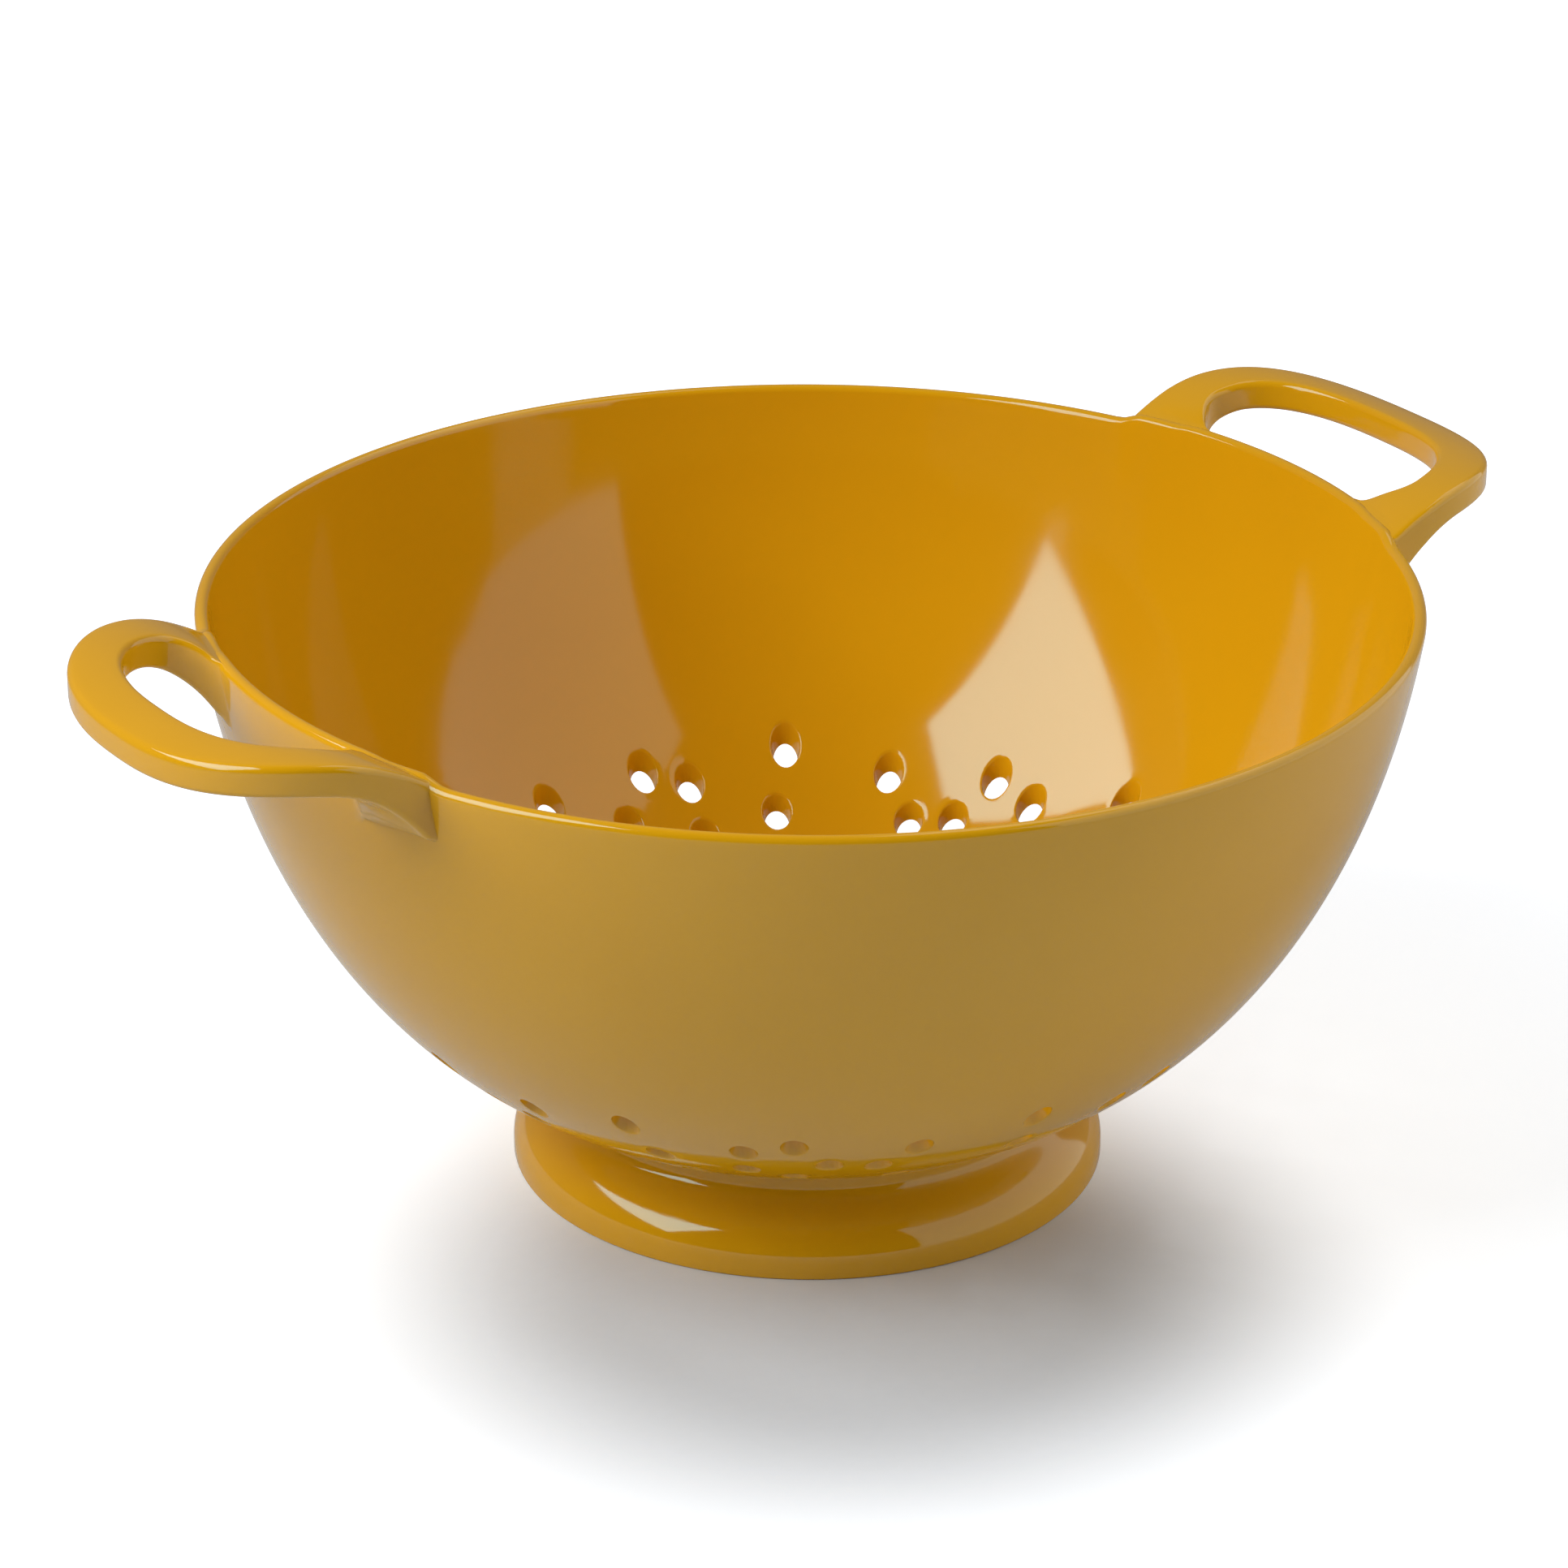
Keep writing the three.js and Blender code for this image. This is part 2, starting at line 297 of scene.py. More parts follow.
@dataclass(frozen=True)
class AdhesiveFinish:
    """Two-part epoxy, squeezed into a groove and cured there."""

    # A cured bead is amber and satin, with small lumps where it was drawn along.
    name: str = "epoxy_cured_bead"
    colour: str = "#cdb573"
    thin_colour: str = "#bfa15a"
    lump_size: float = 4.0
    lump_height: float = 0.1
    lump_detail: float = 2.0
    ior: float = 1.55
    roughness: float = 0.42

    def material(self) -> bpy.types.Material:
        """Build the node material and return it."""
        material = empty_material(self.name)
        tree = material.node_tree
        place = add_node(tree, "ShaderNodeTexCoord").outputs["Object"]
        lumps = add_node(tree, "ShaderNodeTexNoise", inputs={
            "Vector": place, "Scale": 1.0 / (self.lump_size * MM), "Detail": self.lump_detail})
        colour = add_node(tree, "ShaderNodeMix", {"data_type": "RGBA"}, {
            0: lumps.outputs["Fac"], 6: linear(self.thin_colour), 7: linear(self.colour)})
        bump = add_node(tree, "ShaderNodeBump", inputs={
            "Height": lumps.outputs["Fac"], "Distance": self.lump_height * MM})
        shader = add_node(tree, "ShaderNodeBsdfPrincipled", inputs={
            "Base Color": colour.outputs[2], "Roughness": self.roughness,
            "Normal": bump.outputs["Normal"], "IOR": self.ior})
        add_node(tree, "ShaderNodeOutputMaterial", inputs={"Surface": shader.outputs["BSDF"]})
        return material


@dataclass(frozen=True)
class PaperFinish:
    """Coated background paper, matt and plain, shown white outside a painted shadow pool."""

    # The cool paper keeps the shadow grey beside the yellow bowl. Outside a pool set towards
    # the front right, where the shadow falls, it carries a painted white glow, shown to camera
    # rays and faintly in the gloss as a painted reflection, with no light cast; the soft edge
    # of that pool is painted shadow.
    name: str = "background_paper"
    colour: str = "#d9e0e8"
    grain_colour: str = "#d6dde5"
    grain_size: float = 3.0
    painted_shadow_centre: tuple[float, float, float] = (8.0, -62.0, 0.0)
    painted_shadow_inner: float = 45.0
    painted_shadow_outer: float = 116.0
    far_radius: float = 650.0
    painted_white_near: float = 0.64
    painted_white_far: float = 0.36
    painted_gloss_share: float = 0.08

    def material(self) -> bpy.types.Material:
        """Build the node material and return it."""
        material = empty_material(self.name)
        tree = material.node_tree
        place = add_node(tree, "ShaderNodeTexCoord").outputs["Object"]
        grain = add_node(tree, "ShaderNodeTexNoise", inputs={
            "Vector": place, "Scale": 1.0 / (self.grain_size * MM)})
        colour = add_node(tree, "ShaderNodeMix", {"data_type": "RGBA"}, {
            0: grain.outputs["Fac"], 6: linear(self.grain_colour), 7: linear(self.colour)})
        paper = add_node(tree, "ShaderNodeBsdfDiffuse", inputs={"Color": colour.outputs[2]})
        rays = add_node(tree, "ShaderNodeLightPath").outputs
        # Painted reflection: gloss rays see a share of the painted white.
        mirrored = add_node(tree, "ShaderNodeMath", {"operation": "MULTIPLY"}, {
            0: rays["Is Glossy Ray"], 1: self.painted_gloss_share})
        seen = add_node(tree, "ShaderNodeMath", {"operation": "MAXIMUM"}, {
            0: rays["Is Camera Ray"], 1: mirrored.outputs[0]})
        shown = add_node(tree, "ShaderNodeMath", {"operation": "MAXIMUM"}, {
            0: seen.outputs[0], 1: rays["Is Transmission Ray"]})
        eased = {"interpolation_type": "SMOOTHSTEP"}
        # Painted shadow: the painted white is withheld in a pool round where the shadow falls.
        from_painted_shadow = add_node(tree, "ShaderNodeVectorMath", {"operation": "DISTANCE"}, {
            0: place, 1: from_photo(self.painted_shadow_centre) * MM}).outputs["Value"]
        clear = add_node(tree, "ShaderNodeMapRange", eased, {
            "Value": from_painted_shadow, "From Min": self.painted_shadow_inner * MM, "From Max": self.painted_shadow_outer * MM,
            "To Min": 0.0, "To Max": self.painted_white_near})
        far = add_node(tree, "ShaderNodeMapRange", eased, {
            "Value": from_painted_shadow, "From Min": self.painted_shadow_outer * MM, "From Max": self.far_radius * MM,
            "To Min": 0.0, "To Max": self.painted_white_far})
        white = add_node(tree, "ShaderNodeMath", {"operation": "ADD"}, {
            0: clear.outputs["Result"], 1: far.outputs["Result"]})
        share = add_node(tree, "ShaderNodeMath", {"operation": "MULTIPLY"}, {
            0: shown.outputs[0], 1: white.outputs[0]})
        glow = add_node(tree, "ShaderNodeEmission", inputs={"Strength": share.outputs[0]})
        both = add_node(tree, "ShaderNodeAddShader", inputs={
            0: paper.outputs["BSDF"], 1: glow.outputs["Emission"]})
        add_node(tree, "ShaderNodeOutputMaterial", inputs={"Surface": both.outputs["Shader"]})
        return material


@dataclass(frozen=True)
class BowlSection:
    """Turned section of the bowl's wall, measured from the axis and the table."""

    rim_radius: float = 120.0
    rim_height: float = 121.0
    rim_lean: float = 7.7
    base_radius: float = 12.0
    base_height: float = 11.8
    floor_pull: float = 74.1
    wall_pull: float = 48.7
    wall: float = 2.8
    samples: int = 3000

    def line(self, depth: float) -> np.ndarray:
        """Section of the wall at a depth behind its outside.

        Args:
            depth: 0 for the outside, the wall's thickness for the inside.

        Returns:
            Radius and height of points from the axis to the rim.
        """
        lean = math.radians(self.rim_lean)
        rim = np.array([self.rim_radius, self.rim_height - self.wall / 2])
        control = np.array([
            [self.base_radius, self.base_height],
            [self.base_radius + self.floor_pull, self.base_height],
            rim - self.wall_pull * np.array([math.sin(lean), math.cos(lean)]),
            rim,
        ])
        place, run = bezier(control, np.linspace(0.0, 1.0, self.samples))
        moved = place + depth * np.stack([-run[:, 1], run[:, 0]], axis=1)
        return np.vstack([[0.0, self.base_height + depth], moved])

    def height(self, depth: float, radius: np.ndarray) -> np.ndarray:
        """Height of the wall's outside, or of a depth behind it, at distances from the axis."""
        line = self.line(depth)
        return np.interp(radius, line[:, 0], line[:, 1])

    def radius(self, depth: float, height: np.ndarray) -> np.ndarray:
        """Distance of the wall's outside, or of a depth behind it, from the axis at heights."""
        line = self.line(depth)
        return np.interp(height, line[:, 1], line[:, 0])

    def above(self, depth: float, radius: float, count: int) -> np.ndarray:
        """Evenly spread points of the section from a distance from the axis up to the rim.

        Args:
            depth: depth behind the outside.
            radius: distance from the axis where the points start.
            count: number of points.

        Returns:
            Radius and height of each point.
        """
        line = self.line(depth)
        start = np.array([[radius, np.interp(radius, line[:, 0], line[:, 1])]])
        return evenly(np.vstack([start, line[line[:, 0] > radius]]), count)

    def lip(self, steps: int) -> np.ndarray:
        """Half round of the lip from its outer to its inner side, without its two ends."""
        middle = (self.line(0.0)[-1] + self.line(self.wall)[-1]) / 2
        return arc(tuple(middle), self.wall / 2, -self.rim_lean, 180.0 - self.rim_lean, steps)[1:-1]


@dataclass(frozen=True)
class DrainField:
    """Drain holes: one motif of distances and angles, repeated round the bowl."""

    sectors: int = 7
    radius: float = 2.65
    draft: float = 6.0
    edge_outside: float = 0.25
    edge_inside: float = 0.5
    apron: float = 1.5
    sides: int = 28
    edge_steps: int = 4
    motif: tuple[tuple[float, float], ...] = (
        (84.7, -29.3), (87.3, -22.8), (79.7, -18.2), (78.5, -11.3), (85.8, -7.0), (89.3, 7.8),
        (78.9, 9.5), (75.6, -29.9), (70.3, -23.1), (68.3, -6.9), (67.3, 11.7),
        (40.5, -21.0), (40.0, 4.0), (30.0, -8.0), (28.5, 18.0), (18.0, -20.0),
    )

    def centres(self) -> np.ndarray:
        """Place of every hole in plan, the one on the axis first."""
        places = [(0.0, 0.0)]
        for sector in range(self.sectors):
            for distance, degrees in self.motif:
                turn = math.radians(degrees + 360.0 * sector / self.sectors)
                places.append((distance * math.cos(turn), distance * math.sin(turn)))
        return np.array(places)

    def edge_rings(self, inside: bool) -> tuple[np.ndarray, np.ndarray]:
        """Rings of a hole's rounded edge and the apron round it.

        Args:
            inside: True for the edge inside the bowl, False for the one outside.

        Returns:
            How far each ring lies outside the hole's wall, and how far below the surface.
        """
        edge = self.edge_inside if inside else self.edge_outside
        turn = np.linspace(0.0, math.pi / 2, self.edge_steps + 1)
        outset = np.r_[edge * (1 - np.cos(turn)), self.apron]
        depth = np.r_[edge * (1 - np.sin(turn)), 0.0]
        return outset, depth

    @property
    def reach(self) -> float:
        """Distance from a hole's axis to the outside of its apron."""
        return self.radius + self.apron


@dataclass(frozen=True)
class LoopHandle:
    """Flat band that leaves the rim as two arms and closes in a loop."""

    overhang: float = 33.0
    width: float = 85.0
    band: float = 10.3
    thickness: float = 6.5
    squareness: float = 2.5
    edge: float = 1.3
    crown: float = 0.15
    crest_height: float = 8.6
    crest_reach: float = 17.4
    crest_radius: float = 56.0
    root_run: float = 16.0
    root_dip: float = 1.4
    root_drop: float = 6.8
    under_round: float = 1.5
    window_round: float = 10.0
    side_round: float = 0.8
    round_share: float = 0.999
    round_sink: float = 1.0
    corner_drop: float = 1.2
    corner_run: float = 7.0
    arm_spread: float = 1.0
    spread_run: float = 28.0
    root_inset: float = 1.2
    path_samples: int = 20001
    loop_steps: int = 150
    root_steps: int = 26
    edge_steps: int = 6
    flat_steps: int = 6
    flank_steps: int = 3
    half_rounds: int = 3
    root_rounds: int = 8
    bowl: BowlSection = field(default_factory=BowlSection)

    def root_share(self, distance: np.ndarray) -> np.ndarray:
        """Share of the root's swelling that is left at distances from the bowl's axis."""
        return (1.0 - np.clip((distance - self.bowl.rim_radius) / self.root_run, 0.0, 1.0)) ** 2

    def top(self, u: np.ndarray, v: np.ndarray) -> np.ndarray:
        """Height of the band's top face over a place in plan."""
        crest = self.bowl.rim_radius + self.crest_reach
        distance = np.hypot(u, v)
        dip = self.root_dip * self.root_share(distance)
        fall = (u - crest) ** 2 / (2 * self.crest_radius)
        corner = smooth((self.width / 2 - self.band - np.abs(v)) / self.corner_run)
        corner *= smooth(1 - (distance - self.bowl.rim_radius) / self.corner_run)
        return self.bowl.rim_height + self.crest_height - fall - dip - self.corner_drop * corner

    def wall(self, height: np.ndarray) -> np.ndarray:
        """Distance of the bowl's outside from the axis at heights, the lip's own above the wall."""
        return self.bowl.radius(0.0, np.minimum(height, self.bowl.rim_height - self.bowl.wall / 2))

    def swell(self, left: np.ndarray, radius: np.ndarray | float) -> np.ndarray:
        """Height of a hollow round over the face it leaves.

        Args:
            left: distance gone from where the round leaves that face.
            radius: radius of the round.

        Returns:
            How far the round stands over the face, nearly its radius at the most.
        """
        left = np.clip(left, 0.0, self.round_share * radius)
        return radius - np.sqrt(radius ** 2 - left ** 2)

    def bottom(self, u: np.ndarray, v: np.ndarray) -> np.ndarray:
        """Height of the band's underside in plan, rounded into the wall beside the window."""
        distance = np.hypot(u, v)
        drop = (self.root_dip - self.root_drop) * self.root_share(distance)
        flat = self.top(u, v) + drop - self.thickness
        inward = smooth((self.width / 2 - np.abs(v)) / self.band)
        left = self.under_round - (distance - self.wall(flat))
        return flat - inward * self.swell(left, self.under_round)

    def path(self) -> tuple[np.ndarray, np.ndarray]:
        """Middle line of the loop in plan.

        Returns:
            Points from one arm's foot round to the other's, and the outward direction at each.
        """
        turn = np.linspace(-math.pi / 2, math.pi / 2, self.path_samples)
        power = 2.0 / self.squareness
        along = (self.overhang - self.band / 2) * np.abs(np.cos(turn)) ** power
        across = (self.width - self.band) / 2 * np.sign(turn) * np.abs(np.sin(turn)) ** power
        line = evenly(np.stack([self.bowl.rim_radius + along, across], axis=1), self.loop_steps + 1)
        run = np.gradient(line, axis=0)
        run[0], run[-1] = (1.0, 0.0), (-1.0, 0.0)
        run /= np.linalg.norm(run, axis=1)[:, None]
        return line, np.stack([run[:, 1], -run[:, 0]], axis=1)

    def section(self) -> np.ndarray:
        """Rounded section of the band.

        Returns:
            For each point its side and level, 1 or -1, and its distances in from them.
        """
        turn = np.linspace(0.0, math.pi / 2, self.edge_steps + 1)
        long_way, short_way = self.edge * (1 - np.cos(turn)), self.edge * (1 - np.sin(turn))
        face = np.linspace(0.0, 1.0, self.flat_steps + 1)[1:-1]
        flank = np.linspace(0.0, 1.0, self.flank_steps + 1)[1:-1]
        points: list[tuple[float, float, float, float]] = []
        wide, tall = self.band - 2 * self.edge, self.thickness - 2 * self.edge
        for side, level in ((1, 1), (-1, 1), (-1, -1), (1, -1)):
            inward, fall = (long_way, short_way) if side == level else (short_way, long_way)
            points += [(side, level, a, b) for a, b in zip(inward, fall)]
            if side == level:
                points += [(side, level, self.edge + wide * t, 0.0) for t in face if t <= 0.5]
                points += [(-side, level, self.edge + wide * (1 - t), 0.0) for t in face if t > 0.5]
            else:
                points += [(side, level, 0.0, self.edge + tall * t) for t in flank if t <= 0.5]
                points += [
                    (side, -level, 0.0, self.edge + tall * (1 - t)) for t in flank if t > 0.5]
        return np.array(points)

    def half(self, u: np.ndarray, v: float, part: np.ndarray) -> np.ndarray:
        """Half width of the band at each section point, with the round into the bowl's wall.

        Args:
            u: distance of each point along the handle's axis.
            v: distance of the band's middle across it.
            part: the section, as section() gives it.

        Returns:
            Half width for each point.
        """
        side = part[:, 0]
        run = np.clip((u - self.bowl.rim_radius) / self.spread_run, 0.0, 1.0)
        straight = self.band / 2 + np.where(side > 0, self.arm_spread * (1 - run) ** 2, 0.0)
        radius = np.where(side > 0, self.side_round, self.window_round)
        face = abs(v) + side * straight
        half = straight
        for _ in range(self.half_rounds):
            height = self.levels(u, abs(v) + side * half, part, np.ones_like(u))
            wall = self.wall(height) - self.round_sink
            middle = np.sqrt((wall + radius) ** 2 - (face + side * radius) ** 2)
            half = straight + self.swell(middle - u, radius)
        return half

    def levels(
        self, u: np.ndarray, v: np.ndarray, part: np.ndarray, spread: np.ndarray,
    ) -> np.ndarray:
        """Heights of section points.

        Args:
            u: distance of each point along the handle's axis.
            v: distance of each point across it.
            part: the section, as section() gives it.
            spread: place of each point between the middle, 0, and a side, 1.

        Returns:
            Height of each point above the table.
        """
        crown = self.crown * spread ** 2
        upper = self.top(u, v) - crown - part[:, 3]
        lower = self.bottom(u, v) + crown + part[:, 3]
        return np.where(part[:, 1] > 0, upper, lower)

    def root_rings(self, centre: np.ndarray, outward: np.ndarray) -> list[np.ndarray]:
        """Rings of one arm from the rim's circle into the bowl's wall.

        Args:
            centre: foot of the arm's middle line in plan.
            outward: direction in plan away from the finger window.

        Returns:
            Rings of points, the one inside the wall last.
        """
        part = self.section()
        side = part[:, 0]
        u = np.full(len(part), self.bowl.rim_radius - self.root_inset)
        for _ in range(self.root_rounds):
            half = self.half(u, centre[1], part)
            v = centre[1] + outward[1] * side * (half - part[:, 2])
            z = self.levels(u, v, part, np.clip(1 - part[:, 2] / half, 0, 1))
            u = np.sqrt((self.wall(z) - self.root_inset) ** 2 - v ** 2)
        rings = []
        for step in np.sin(np.linspace(0.0, math.pi / 2, self.root_steps + 1))[1:]:
            place = centre[0] + step * (u - centre[0])
            half = self.half(place, centre[1], part)
            v = centre[1] + outward[1] * side * (half - part[:, 2])
            z = self.levels(place, v, part, np.clip(1 - part[:, 2] / half, 0, 1))
            rings.append(np.stack([place, v, z], axis=1))
        return rings

    def rings(self) -> list[np.ndarray]:
        """Rings of points from inside the wall round the loop and back into the wall."""
        line, outward = self.path()
        part = self.section()
        side = part[:, 0]
        loop = []
        for centre, away in zip(line, outward):
            half = self.half(np.full(len(part), centre[0]), centre[1], part)
            plan = centre + (side * (half - part[:, 2]))[:, None] * away
            z = self.levels(plan[:, 0], plan[:, 1], part, np.clip(1 - part[:, 2] / half, 0, 1))
            loop.append(np.column_stack([plan, z]))
        first = self.root_rings(line[0], outward[0])[::-1]
        return first + loop + self.root_rings(line[-1], outward[-1])

    def build(self, name: str, turned: bool) -> bpy.types.Object:
        """Build the closed loop.

        Args:
            name: name of the object.
            turned: True for the handle on the far side of the bowl's axis.

        Returns:
            The mesh object.
        """
        rings = self.rings()
        count = len(rings[0])
        faces: list[tuple[int, ...]] = []
        for i in range(len(rings) - 1):
            faces += ring_faces(np.arange(count) + (i + 1) * count, np.arange(count) + i * count)
        last = (len(rings) - 1) * count
        points = np.vstack(rings + [rings[0].mean(axis=0), rings[-1].mean(axis=0)])
        head, tail = last + count, last + count + 1
        for k in range(count):
            after = (k + 1) % count
            faces.append((head, k, after))
            faces.append((tail, last + after, last + k))
        if turned:
            points = points * np.array([-1.0, -1.0, 1.0])
        return make_mesh(name, points, faces)


@dataclass
class BowlMoulding:
    """Bowl with its lip, drain holes and two loop handles, one moulding."""

    section: BowlSection = field(default_factory=BowlSection)
    drains: DrainField = field(default_factory=DrainField)
    handle: LoopHandle = field(default_factory=LoopHandle)
    join_radius: float = 96.0
    spacing: float = 2.8
    hole_clearance: float = 0.4
    line_samples: int = 2000
    extra_rows: int = 8
    least_ring: int = 6
    merge_distance: float = 1e-6
    segments: int = 360
    wall_rows: int = 34
    lip_steps: int = 14
    window_lift: float = 2.2
    arm_lift: float = 1.75
    window_span: float = 13.0
    arm_span: float = 19.6
    window_run: float = 3.0
    arm_run: float = 3.0
    lift_depth: float = 24.0
    crease: float = 40.0

    def lift(self, points: np.ndarray) -> np.ndarray:
        """Raise the lip and the wall under it between the arms of each handle.

        Args:
            points: vertices of the wall.

        Returns:
            The vertices in their raised places.
        """
        turn = np.degrees(np.arctan2(np.abs(points[:, 1]), np.abs(points[:, 0])))
        window = smooth((turn - self.window_span) / self.window_run)
        arms = smooth((turn - self.arm_span) / self.arm_run)
        rise = (self.window_lift + (self.arm_lift - self.window_lift) * window) * (1 - arms)
        share = smooth(1 - (self.section.rim_height - points[:, 2]) / self.lift_depth)
        return points + np.outer(rise * share, (0.0, 0.0, 1.0))

    def plan(self) -> tuple[np.ndarray, list[tuple[int, ...]], np.ndarray]:
        """Triangulate the lower bowl in plan, round its holes.

        Returns:
            Points in plan, triangles, and how many of the points lie on the joining
            circle and on each hole.
        """
        rim = self.join_radius * circle(self.segments)
        outset, _ = self.drains.edge_rings(False)
        hole = circle(self.drains.sides)
        centres = self.drains.centres()
        holes = [c + (self.drains.radius + o) * hole for c in centres for o in outset]
        line = self.section.above(0.0, self.section.base_radius, self.line_samples)
        line = line[line[:, 0] < self.join_radius]
        rows = evenly(line, int(self.join_radius / self.spacing) + self.extra_rows)[:-1, 0]
        rows = np.r_[np.arange(self.spacing, self.section.base_radius, self.spacing), rows]
        field_points = []
        for k, radius in enumerate(rows):
            count = max(self.least_ring, round(2 * math.pi * radius / self.spacing))
            ring = radius * circle(count, 0.5 * (k % 2))
            gap = np.linalg.norm(ring[:, None] - centres[None], axis=2).min(axis=1)
            field_points.append(ring[gap > self.drains.reach + self.hole_clearance * self.spacing])
        points = np.vstack([rim] + holes + field_points)
        sides, rings = self.drains.sides, len(outset)
        edges = [(i, (i + 1) % self.segments) for i in range(self.segments)]
        for h in range(len(centres)):
            start = self.segments + h * rings * sides
            edges += [(start + i, start + (i + 1) % sides) for i in range(sides)]
        made = delaunay_2d_cdt(
            [Vector(p) for p in points], edges, [], 0, self.merge_distance, True)
        if len(made[0]) != len(points):
            raise ValueError("the plan of the drain holes has crossing edges")
        order = np.array([found[0] for found in made[3]])
        corners = order[np.array(made[2])]
        block = corners - self.segments
        on_hole = (block >= 0) & (block < len(holes) * sides) & (block % (rings * sides) < sides)
        kept = corners[~on_hole.all(axis=1)]
        a, b, c = (points[kept[:, k]] for k in range(3))
        ccw = (b[:, 0] - a[:, 0]) * (c[:, 1] - a[:, 1]) > (b[:, 1] - a[:, 1]) * (c[:, 0] - a[:, 0])
        kept[~ccw] = kept[~ccw][:, ::-1]
        return points, kept, np.array([self.segments, rings * sides])

    def raised(self, points: np.ndarray, depth: float) -> np.ndarray:
        """Lift plan points to the bowl's outside or inside, and round the holes' edges.

        Args:
            points: the points in plan, as plan() orders them.
            depth: 0 for the outside, the wall's thickness for the inside.

        Returns:
            Vertices of that side.
        """
        plan = points.copy()
        inward = depth > 0
        outset, fall = self.drains.edge_rings(inward)
        sides, rings = self.drains.sides, len(outset)
        centres = self.drains.centres()
        sink = np.zeros(len(points))
        place = np.hypot(*centres.T)
        rise = self.section.height(self.section.wall, place) - self.section.height(0.0, place)
        grown = math.tan(math.radians(self.drains.draft)) * rise * inward
        for h, centre in enumerate(centres):
            start = self.segments + h * rings * sides
            block = slice(start, start + rings * sides)
            away = plan[block] - centre
            away /= np.linalg.norm(away, axis=1)[:, None]
            spread = self.drains.radius + grown[h] + np.repeat(outset, sides)
            plan[block] = centre + spread[:, None] * away
            sink[block] = np.repeat(fall, sides)
        radius = np.linalg.norm(plan, axis=1)
        height = self.section.height(depth, radius)
        return np.column_stack([plan, height - sink if inward else height + sink])

    def shell(self) -> bpy.types.Object:
        """Build the bowl without its handles, as one closed mesh."""
        plan, triangles, counts = self.plan()
        size = len(plan)
        outer, inner = self.raised(plan, 0.0), self.raised(plan, self.section.wall)
        faces: list[tuple[int, ...]] = [tuple(t[::-1]) for t in triangles.tolist()]
        faces += [tuple(t) for t in (triangles + size).tolist()]
        first, step = counts
        for start in range(first, first + step * len(self.drains.centres()), step):
            ring = np.arange(start, start + self.drains.sides)
            faces += [face[::-1] for face in ring_faces(ring, ring + size)]
        up = self.section.above(0.0, self.join_radius, self.wall_rows)[1:]
        down = self.section.above(self.section.wall, self.join_radius, self.wall_rows)[:0:-1]
        profile = np.vstack([up, self.section.lip(self.lip_steps), down])
        wall = lathe(profile, self.segments)
        ring = np.arange(self.segments)
        rows = [ring]
        rows += [2 * size + k * self.segments + ring for k in range(len(profile))]
        rows += [size + ring]
        for lower, upper in zip(rows, rows[1:]):
            faces += ring_faces(lower, upper)
        return make_mesh("bowl_moulding", np.vstack([outer, inner, self.lift(wall)]), faces)

    def build(self) -> bpy.types.Object:
        """Build the whole moulding: the shell and its handles joined into one closed mesh."""
        bowl = self.shell()
        loops = [self.handle.build("handle_right", False), self.handle.build("handle_left", True)]
        for loop in loops:
            joint = bowl.modifiers.new(loop.name, "BOOLEAN")
            joint.operation = "UNION"
            joint.solver = "MANIFOLD"
            joint.object = loop
        depsgraph = bpy.context.evaluated_depsgraph_get()
        joined = bpy.data.meshes.new_from_object(bowl.evaluated_get(depsgraph))
        bowl.modifiers.clear()
        bowl.data = joined
        for loop in loops:
            bpy.data.objects.remove(loop)
        joined.shade_smooth()
        joined.set_sharp_from_angle(angle=math.radians(self.crease))
        return bowl

    def dress(self, piece: bpy.types.Object, material: bpy.types.Material) -> None:
        """Give the moulding its finish and its place in the frame.

        Args:
            piece: the mesh object.
            material: its finish.
        """
        piece.data.materials.clear()
        piece.data.materials.append(material)
        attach(piece, ROOT)
        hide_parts("bowl")


